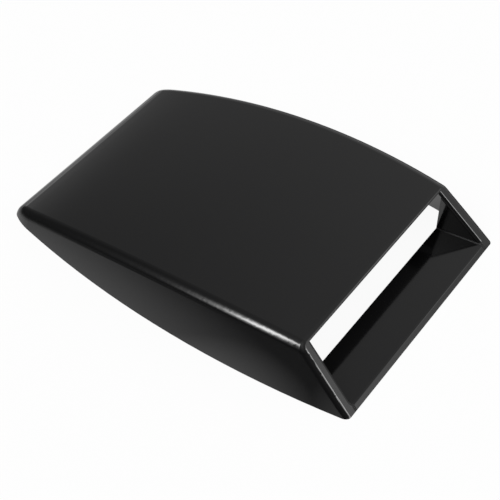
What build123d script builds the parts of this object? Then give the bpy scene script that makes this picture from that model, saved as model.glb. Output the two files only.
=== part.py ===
import os
from math import cos, degrees, radians, sqrt, tan

from build123d import *

# Bonnet scoop, moulded as one thin shell of gloss black plastic. The mouth faces -Y, the base
# lies on z = 0 and the origin is the middle of the base. Sizes are millimetres and degrees.

# Plan of the base: one arc along each flank, turning in more tightly at the tail
length = 404.5
max_width = 287.0
flank_bow = 13.5
widest_from_lip = 168.0
tail_turn = 25.0
tail_turn_radius = 65.0

# Side view of the top: one arc that is level at its crown, rounded down into the rear wall
crown_height = 56.0
crown_from_lip = 118.0
tail_height = 9.2
nose_radius = 22.0

# Skin
wall = 2.2
draft = 15.3
shoulder_radius = 10.8

# Mouth: raked rim, folded in to a floor tray and two cheeks
mouth_rake = 46.5
rim_edge_radius = 6.5
rim_fold_radius = 3.5
lip_height = 4.2
rim_width = 14.0
floor_depth = 51.9
cheek_toe_in = 7.0
tray_corner_radius = 1.0

# Reach of the cutting forms past the faces that they trim
overrun = 30.0
min_radius = 0.4

lip_y = -length / 2
rear_y = length / 2
front_y = lip_y - 2 * overrun
back_y = rear_y + overrun
top_height = crown_height + overrun

widest_y = lip_y + widest_from_lip
lip_width = max_width - 2 * flank_bow
floor_width = lip_width - 2 * rim_width
flank_radius = (widest_from_lip**2 + flank_bow**2) / (2 * flank_bow)
turn_y = rear_y - tail_turn
turn_sweep = degrees((tail_turn + overrun) / tail_turn_radius)

mouth_plane = Plane.XZ.offset(length / 2).rotated((-mouth_rake, 0, 0))

crown_y = lip_y + crown_from_lip
tail_run = rear_y - crown_y
tail_drop = crown_height - tail_height
crown_radius = (tail_run**2 + tail_drop**2) / (2 * tail_drop)


def flank_x(y):
    """Half width of the base at y."""
    return max_width / 2 - flank_radius + sqrt(flank_radius**2 - (y - widest_y) ** 2)


def top_z(y, inset):
    """Height of the top arc at y, moved in by inset."""
    return crown_height - crown_radius + sqrt((crown_radius - inset) ** 2 - (y - crown_y) ** 2)


def rear_wall_y(z, inset):
    """Place of the rear wall at height z, moved in by inset."""
    return rear_y - z * tan(radians(draft)) - inset / cos(radians(draft))


def rake_y(z, inset):
    """Place of the mouth plane at height z, moved in by inset."""
    return lip_y + z * tan(radians(mouth_rake)) + inset / cos(radians(mouth_rake))


def drafted_block(inset):
    """Barrel-sided block under the skin, moved in by inset, leaning in at the draft angle."""
    with BuildPart() as block:
        with BuildSketch(Plane.XY.offset(-overrun)):
            with BuildLine():
                flank = ThreePointArc(
                    (flank_x(front_y), front_y),
                    (max_width / 2, widest_y),
                    (flank_x(turn_y), turn_y),
                )
                turn = JernArc(flank @ 1, flank % 1, tail_turn_radius, turn_sweep)
                Line(flank @ 0, (0, front_y))
                Line(turn @ 1, (0, (turn @ 1).Y))
                mirror(about=Plane.YZ)
            make_face()
            grown = overrun * tan(radians(draft)) - inset / cos(radians(draft))
            offset(amount=grown, kind=Kind.INTERSECTION)
        extrude(amount=overrun + top_height, taper=draft)
    return block.part


def roof(inset):
    """Block under the top arc and ahead of the rear wall, with rounded nose and shoulders."""
    with BuildPart() as canopy:
        add(drafted_block(inset))
        with BuildSketch(Plane.YZ) as side_view:
            with BuildLine():
                crest = ThreePointArc(
                    (front_y, top_z(front_y, inset)),
                    (crown_y, crown_height - inset),
                    (back_y, top_z(back_y, inset)),
                )
                Polyline(crest @ 1, (back_y, -overrun), (front_y, -overrun), crest @ 0)
            make_face()
            with BuildLine():
                Polyline(
                    (rear_wall_y(-overrun, inset), -overrun),
                    (rear_wall_y(top_height, inset), top_height),
                    (front_y, top_height),
                    (front_y, -overrun),
                    close=True,
                )
            make_face(mode=Mode.INTERSECT)
            tail = side_view.vertices().sort_by(Axis.X)[-2:].sort_by(Axis.Y)[-1]
            fillet(tail, max(nose_radius - inset, min_radius))
        extrude(amount=max_width, both=True, mode=Mode.INTERSECT)
        skin = canopy.faces().filter_by(GeomType.CYLINDER) + canopy.faces().sort_by(Axis.Y)[-1:]
        shoulders = skin.edges().filter_by(Axis.X, reverse=True)
        fillet(shoulders, max(shoulder_radius - inset, min_radius))
    return canopy.part


def behind_mouth(inset):
    """All that lies behind the mouth plane, moved in by inset."""
    with BuildPart() as wedge:
        with BuildSketch(Plane.YZ):
            with BuildLine():
                Polyline(
                    (rake_y(-overrun, inset), -overrun),
                    (rake_y(top_height, inset), top_height),
                    (back_y, top_height),
                    (back_y, -overrun),
                    close=True,
                )
            make_face()
        extrude(amount=max_width, both=True)
    return wedge.part


def skin_form(inset):
    """Roof cut off at the mouth plane and rounded into it all round the mouth, moved in by inset."""
    with BuildPart() as form:
        add(roof(inset))
        add(behind_mouth(inset), mode=Mode.INTERSECT)
        mouth = form.faces().filter_by(mouth_plane)[0]
        fillet(mouth.edges().sort_by(Axis.Z)[1:], max(rim_edge_radius - inset, min_radius))
    return form.part


floor_front = rake_y(lip_height, 0)
floor_rear = lip_y + floor_depth


def cheek_x(y, grown):
    """Half width between the cheeks at y, grown outwards."""
    toe_in = radians(cheek_toe_in)
    return floor_width / 2 - (y - floor_front) * tan(toe_in) + grown / cos(toe_in)


def mouth_space(grown):
    """Space over the floor and between the cheeks, grown outwards and downwards."""
    with BuildPart() as space:
        with BuildSketch(Plane.XY.offset(lip_height - grown)):
            with BuildLine():
                near, far = floor_front - overrun, rake_y(top_height, overrun)
                Polyline((cheek_x(near, grown), near), (cheek_x(far, grown), far), (0, far))
                Line((0, near), (cheek_x(near, grown), near))
                mirror(about=Plane.YZ)
            make_face()
        extrude(amount=top_height)
        bottom = space.faces().sort_by(Axis.Z)[0]
        fillet(bottom.edges().filter_by(Axis.X, reverse=True), tray_corner_radius + grown)
    return space.part


def rim_form(inset):
    """Solid behind the mouth plane with the mouth sunk in it, folds rounded, moved in by inset."""
    with BuildPart() as form:
        add(behind_mouth(inset))
        add(mouth_space(inset), mode=Mode.SUBTRACT)
        mouth = form.faces().filter_by(mouth_plane)[0]
        inner = mouth.edges().filter_by(lambda edge: abs((edge @ 0.5).X) < max_width / 2)
        fillet(inner.sort_by(Axis.Z)[1:], max(rim_fold_radius - inset, min_radius))
    return form.part


with BuildPart() as tray:
    add(rim_form(0))
    add(rim_form(wall), mode=Mode.SUBTRACT)
    with BuildSketch(Plane.YZ):
        with BuildLine():
            Polyline(
                (front_y, -overrun),
                (floor_rear, -overrun),
                (floor_rear, (floor_rear - rake_y(0, wall)) / tan(radians(mouth_rake))),
                (rake_y(top_height, wall), top_height),
                (front_y, top_height),
                close=True,
            )
        make_face()
    extrude(amount=max_width, both=True, mode=Mode.INTERSECT)

with BuildPart() as opening:
    add(mouth_space(rim_fold_radius + wall))
    add(roof(wall), mode=Mode.INTERSECT)

with BuildPart() as hollow:
    add(skin_form(wall))
    add(opening.part)
    add(tray.part, mode=Mode.SUBTRACT)

with BuildPart() as scoop_shell:
    add(skin_form(0))
    add(hollow.part, mode=Mode.SUBTRACT)
    split(bisect_by=Plane.XY, keep=Keep.TOP)
scoop_shell.part.label = "scoop_shell"
os.makedirs("parts", exist_ok=True)
export_step(scoop_shell.part, "parts/scoop_shell.step")
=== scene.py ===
from math import cos, radians, sin, tan

import bpy
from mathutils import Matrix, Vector


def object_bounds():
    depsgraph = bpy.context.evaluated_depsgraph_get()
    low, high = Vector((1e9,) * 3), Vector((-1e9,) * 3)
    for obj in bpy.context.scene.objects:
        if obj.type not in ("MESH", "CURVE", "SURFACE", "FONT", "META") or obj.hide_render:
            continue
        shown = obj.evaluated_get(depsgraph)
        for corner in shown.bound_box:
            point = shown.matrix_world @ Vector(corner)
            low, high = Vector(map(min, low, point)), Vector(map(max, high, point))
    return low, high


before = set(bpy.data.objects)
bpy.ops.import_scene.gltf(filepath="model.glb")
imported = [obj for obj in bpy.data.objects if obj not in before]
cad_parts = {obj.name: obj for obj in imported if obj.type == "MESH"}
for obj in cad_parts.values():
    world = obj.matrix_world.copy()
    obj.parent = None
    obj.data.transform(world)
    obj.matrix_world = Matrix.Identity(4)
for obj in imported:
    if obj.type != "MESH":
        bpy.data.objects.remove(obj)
cad_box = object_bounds()

# Sizes are metres and angles degrees. Azimuth 0 is in front of the mouth and 90 on the +X side
QUARTER_TURN = 90.0

# Camera at the photograph's viewing angle, with lens and sensor in millimetres
CAMERA_AZIMUTH = -54.309
CAMERA_ELEVATION = 47.368
CAMERA_DISTANCE = 1.2078
CAMERA_AIM = (-0.0167, -0.0172, 0.0)
CAMERA_LENS = 89.91
CAMERA_SENSOR = 36.0

# White floor, just under the base. The camera sees its own white, and the object's shadow in the share that
# is left
FLOOR_SIZE = 8.0
FLOOR_DROP = 0.0004
FLOOR_COLOUR = (0.88, 0.88, 0.88, 1.0)
WHITE = (1.0, 1.0, 1.0, 1.0)
BACKGROUND_SHARE = 0.94

# Painted pools of light on the floor, which glows in them for glossy rays only: middle, half spans, start
# and end of the fade in half spans, and level. Between the pools the floor glows at the painted rest level
PAINTED_POOL_REST = 0.15
PAINTED_LIGHT_POOLS = {
    "round the body": ((0.0, 0.05), (0.25, 0.28), (0.48, 1.0), 1.0),
    "round the mouth": ((0.0, -0.07), (0.21, 0.138), (0.7, 1.02), 1.0),
    "behind": ((0.22, 0.6), (0.42, 0.47), (0.7, 1.0), 1.0),
    "front corner": ((-0.1, -0.205), (0.2, 0.05), (0.2, 1.0), 0.6),
}

# Room: the colour of all its lights, and an even level
LIGHT_COLOUR = (0.8, 0.8, 0.8, 1.0)
ROOM_LEVEL = 0.06

# Tall strip lamp on the left, bright at the front and paler behind: azimuth, elevation, half width,
# half height, and strength at the middle
STRIPS = {
    "front": (-110.0, 48.0, 5.0, 15.0, 24.0),
    "behind": (-120.0, 53.0, 7.0, 17.0, 3.0),
}

# Round soft lights: azimuth, elevation, spread, and strength at the middle
SOFT_LIGHTS = {
    "strip foot": (-112.0, 28.0, 6.0, 4.0),
    "strip glow": (-124.0, 38.0, 16.0, 0.43),
    "rim": (24.0, 24.0, 3.0, 12.0),
    "rim near side": (17.5, 27.0, 3.0, 10.0),
    "rim glow": (28.0, 21.0, 8.0, 1.8),
    "lip": (44.0, 29.0, 3.0, 2.0),
    "overhead": (-47.0, 70.0, 20.0, 0.95),
    "right": (84.0, 13.0, 35.0, 1.13),
    "rear": (151.5, 7.5, 5.0, 1.2),
}

# Gloss black plastic: the finish wanders a little over patches, and the face has a faint orange peel
PLASTIC_DARK = (0.0024, 0.0024, 0.0026, 1.0)
PLASTIC_PALE = (0.0036, 0.0036, 0.0038, 1.0)
PLASTIC_SMOOTH = 0.07
PLASTIC_DULL = 0.11
PLASTIC_IOR = 1.5
PATCH_SCALE = 14.0
PATCH_DETAIL = 4.0
PEEL_SCALE = 260.0
PEEL_DETAIL = 2.0
PEEL_STRENGTH = 0.012
PEEL_DEPTH = 0.0004

# Inside corners between tray and cheeks, where polish doesn't reach: the tray's sizes, and the dull finish
# with its reach from the corner
TRAY_HALF_WIDTH = 0.116
TRAY_HEIGHT = 0.0042
TRAY_DEPTH = 0.0519
CHEEK_TOE_IN = 7.0
MOUTH_RAKE = 46.5
CORNER_REACH = 0.0015
CORNER_DULL = 0.6


def direction_from(azimuth, elevation):
    """Unit vector from the object towards these angles."""
    a, e = radians(azimuth), radians(elevation)
    return Vector((sin(a) * cos(e), -cos(a) * cos(e), sin(e)))


def make_camera():
    data = bpy.data.cameras.new("camera")
    data.lens = CAMERA_LENS
    data.sensor_width = CAMERA_SENSOR
    camera = bpy.data.objects.new("camera", data)
    bpy.context.scene.collection.objects.link(camera)
    back = direction_from(CAMERA_AZIMUTH, CAMERA_ELEVATION)
    camera.location = Vector(CAMERA_AIM) + back * CAMERA_DISTANCE
    camera.rotation_mode = "QUATERNION"
    camera.rotation_quaternion = (-back).to_track_quat("-Z", "Y")
    bpy.context.scene.camera = camera


def new_material(name):
    """Material with an empty tree but for its output."""
    material = bpy.data.materials.new(name)
    material.use_nodes = True
    tree = material.node_tree
    tree.nodes.clear()
    output = tree.nodes.new("ShaderNodeOutputMaterial")
    return material, tree, output


def math_node(tree, operation, *values):
    """Result of a Math node whose inputs are numbers or sockets."""
    node = tree.nodes.new("ShaderNodeMath")
    node.operation = operation
    for socket, value in zip(node.inputs, values):
        if isinstance(value, (int, float)):
            socket.default_value = value
        else:
            tree.links.new(value, socket)
    return node.outputs[0]


def vector_node(tree, operation, vector, constant=None):
    """Outputs of a Vector Math node on a socket and, where the operation takes one, a constant vector."""
    node = tree.nodes.new("ShaderNodeVectorMath")
    node.operation = operation
    tree.links.new(vector, node.inputs[0])
    if constant is not None:
        node.inputs[1].default_value = constant
    return node.outputs


def map_range(tree, value, start, end, at_start, at_end):
    """Even change from at_start to at_end while the value goes from start to end, held beyond both."""
    node = tree.nodes.new("ShaderNodeMapRange")
    tree.links.new(value, node.inputs["Value"])
    node.inputs["From Min"].default_value = start
    node.inputs["From Max"].default_value = end
    node.inputs["To Min"].default_value = at_start
    node.inputs["To Max"].default_value = at_end
    return node.outputs["Result"]


def noise(tree, place, scale, detail):
    node = tree.nodes.new("ShaderNodeTexNoise")
    tree.links.new(place, node.inputs["Vector"])
    node.inputs["Scale"].default_value = scale
    node.inputs["Detail"].default_value = detail
    return node.outputs["Fac"]


def mix_shaders(tree, share, first, second, output):
    """Shaders mixed by a socket's share of the second, into the output's surface."""
    mix = tree.nodes.new("ShaderNodeMixShader")
    tree.links.new(share, mix.inputs["Fac"])
    tree.links.new(first.outputs[0], mix.inputs[1])
    tree.links.new(second.outputs[0], mix.inputs[2])
    tree.links.new(mix.outputs[0], output.inputs["Surface"])


def painted_floor_glow(tree):
    """Painted glow of the floor in what gloss mirrors: pools of light painted by position, over a painted
    rest level.
    """
    place = tree.nodes.new("ShaderNodeTexCoord").outputs["Object"]
    level = PAINTED_POOL_REST
    for middle, half_spans, (start, end), pool_level in PAINTED_LIGHT_POOLS.values():
        shifted = vector_node(tree, "SUBTRACT", place, (*middle, 0.0))["Vector"]
        scaled = vector_node(tree, "DIVIDE", shifted, (*half_spans, 1.0))["Vector"]
        away = vector_node(tree, "LENGTH", scaled)["Value"]
        pool = map_range(tree, away, start, end, pool_level, PAINTED_POOL_REST)
        level = math_node(tree, "MAXIMUM", pool, level)
    return level


def floor_material():
    """White to the camera with the object's shadow left in it, and painted pools of light in what gloss
    mirrors.
    """
    material, tree, output = new_material("pale_floor")
    path = tree.nodes.new("ShaderNodeLightPath").outputs
    mirrored = math_node(tree, "MAXIMUM", path["Is Glossy Ray"], path["Is Transmission Ray"])
    shown = math_node(tree, "MULTIPLY", path["Is Camera Ray"], BACKGROUND_SHARE)
    lit = tree.nodes.new("ShaderNodeBsdfDiffuse")
    lit.inputs["Color"].default_value = FLOOR_COLOUR
    white = tree.nodes.new("ShaderNodeEmission")
    white.inputs["Color"].default_value = WHITE
    # Emission strength: plain white for the camera, and the painted pools of light for glossy and
    # transmission rays
    strength = math_node(tree, "MAXIMUM", path["Is Camera Ray"], painted_floor_glow(tree))
    tree.links.new(strength, white.inputs["Strength"])
    mix_shaders(tree, math_node(tree, "MAXIMUM", shown, mirrored), lit, white, output)
    return material


def make_floor():
    half = FLOOR_SIZE / 2
    corners = [(x, y, -FLOOR_DROP) for x, y in ((-half, -half), (half, -half), (half, half), (-half, half))]
    mesh = bpy.data.meshes.new("floor")
    mesh.from_pydata(corners, [], [range(len(corners))])
    mesh.materials.append(floor_material())
    floor = bpy.data.objects.new("floor", mesh)
    bpy.context.scene.collection.objects.link(floor)


def share_along(tree, direction, azimuth, elevation):
    """Share of a unit direction that points along these angles."""
    return vector_node(tree, "DOT_PRODUCT", direction, direction_from(azimuth, elevation))["Value"]


def squared(tree, value):
    return math_node(tree, "MULTIPLY", value, value)


def soft_light(tree, direction, azimuth, elevation, spread, strength):
    """Strength of a light that falls off evenly on all sides of its middle."""
    away = math_node(tree, "SUBTRACT", share_along(tree, direction, azimuth, elevation), 1.0)
    fall = math_node(tree, "EXPONENT", math_node(tree, "DIVIDE", away, radians(spread) ** 2))
    return math_node(tree, "MULTIPLY", fall, strength)


def strip_light(tree, direction, azimuth, elevation, half_width, half_height, strength):
    """Strength of an upright lamp with soft sides and ends, and zero in the opposite half of the room."""
    side = share_along(tree, direction, azimuth + QUARTER_TURN, 0.0)
    up = share_along(tree, direction, azimuth, elevation + QUARTER_TURN)
    facing = math_node(tree, "GREATER_THAN", share_along(tree, direction, azimuth, elevation), 0.0)
    across = squared(tree, math_node(tree, "DIVIDE", side, radians(half_width)))
    along = squared(tree, math_node(tree, "DIVIDE", up, radians(half_height)))
    away = math_node(tree, "ADD", across, squared(tree, along))
    fall = math_node(tree, "EXPONENT", math_node(tree, "MULTIPLY", away, -1.0))
    return math_node(tree, "MULTIPLY", math_node(tree, "MULTIPLY", fall, strength), facing)


def make_world():
    """Even room with the lamps in it, and plain white where the camera looks past the floor."""
    world = bpy.data.worlds.new("studio")
    world.use_nodes = True
    bpy.context.scene.world = world
    tree = world.node_tree
    tree.nodes.clear()
    output = tree.nodes.new("ShaderNodeOutputWorld")
    direction = tree.nodes.new("ShaderNodeTexCoord").outputs["Generated"]
    level = ROOM_LEVEL
    for strip in STRIPS.values():
        level = math_node(tree, "ADD", strip_light(tree, direction, *strip), level)
    for light in SOFT_LIGHTS.values():
        level = math_node(tree, "ADD", soft_light(tree, direction, *light), level)
    room = tree.nodes.new("ShaderNodeBackground")
    room.inputs["Color"].default_value = LIGHT_COLOUR
    tree.links.new(level, room.inputs["Strength"])
    backdrop = tree.nodes.new("ShaderNodeBackground")
    backdrop.inputs["Color"].default_value = WHITE
    path = tree.nodes.new("ShaderNodeLightPath").outputs
    mix_shaders(tree, path["Is Camera Ray"], room, backdrop, output)


def inside_corner(tree, place):
    """1 in the corners between tray and cheeks, 0 elsewhere."""
    lip_y = cad_box[0][1]
    tray_front = lip_y + TRAY_HEIGHT * tan(radians(MOUTH_RAKE))
    tray_rear = lip_y + TRAY_DEPTH
    split = tree.nodes.new("ShaderNodeSeparateXYZ")
    tree.links.new(place, split.inputs[0])
    x, y, z = split.outputs
    depth = math_node(tree, "SUBTRACT", y, tray_front)
    toed_in = math_node(tree, "MULTIPLY", depth, tan(radians(CHEEK_TOE_IN)))
    cheek_x = math_node(tree, "SUBTRACT", TRAY_HALF_WIDTH, toed_in)
    past_cheek = math_node(tree, "SUBTRACT", math_node(tree, "ABSOLUTE", x), cheek_x)
    beside = math_node(tree, "LESS_THAN", math_node(tree, "ABSOLUTE", past_cheek), CORNER_REACH)
    low = math_node(tree, "LESS_THAN", z, TRAY_HEIGHT + CORNER_REACH)
    before_rear = math_node(tree, "LESS_THAN", y, tray_rear + CORNER_REACH)
    return math_node(tree, "MULTIPLY", math_node(tree, "MULTIPLY", beside, low), before_rear)


def plastic_material():
    material, tree, output = new_material("gloss_black_plastic")
    place = tree.nodes.new("ShaderNodeTexCoord").outputs["Object"]
    shader = tree.nodes.new("ShaderNodeBsdfPrincipled")
    shader.inputs["IOR"].default_value = PLASTIC_IOR
    tree.links.new(shader.outputs[0], output.inputs["Surface"])

    patches = noise(tree, place, PATCH_SCALE, PATCH_DETAIL)
    tint = tree.nodes.new("ShaderNodeValToRGB")
    tint.color_ramp.elements[0].color = PLASTIC_DARK
    tint.color_ramp.elements[1].color = PLASTIC_PALE
    tree.links.new(patches, tint.inputs["Fac"])
    tree.links.new(tint.outputs["Color"], shader.inputs["Base Color"])

    polished = map_range(tree, patches, 0.0, 1.0, PLASTIC_SMOOTH, PLASTIC_DULL)
    unpolished = math_node(tree, "MULTIPLY", inside_corner(tree, place), CORNER_DULL)
    tree.links.new(math_node(tree, "MAXIMUM", polished, unpolished), shader.inputs["Roughness"])

    bump = tree.nodes.new("ShaderNodeBump")
    bump.inputs["Strength"].default_value = PEEL_STRENGTH
    bump.inputs["Distance"].default_value = PEEL_DEPTH
    tree.links.new(noise(tree, place, PEEL_SCALE, PEEL_DETAIL), bump.inputs["Height"])
    tree.links.new(bump.outputs["Normal"], shader.inputs["Normal"])
    return material


def dress_shell():
    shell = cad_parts["scoop_shell"]
    shell.data.materials.clear()
    shell.data.materials.append(plastic_material())


make_camera()
make_floor()
make_world()
dress_shell()
bpy.context.scene.view_settings.view_transform = "Standard"
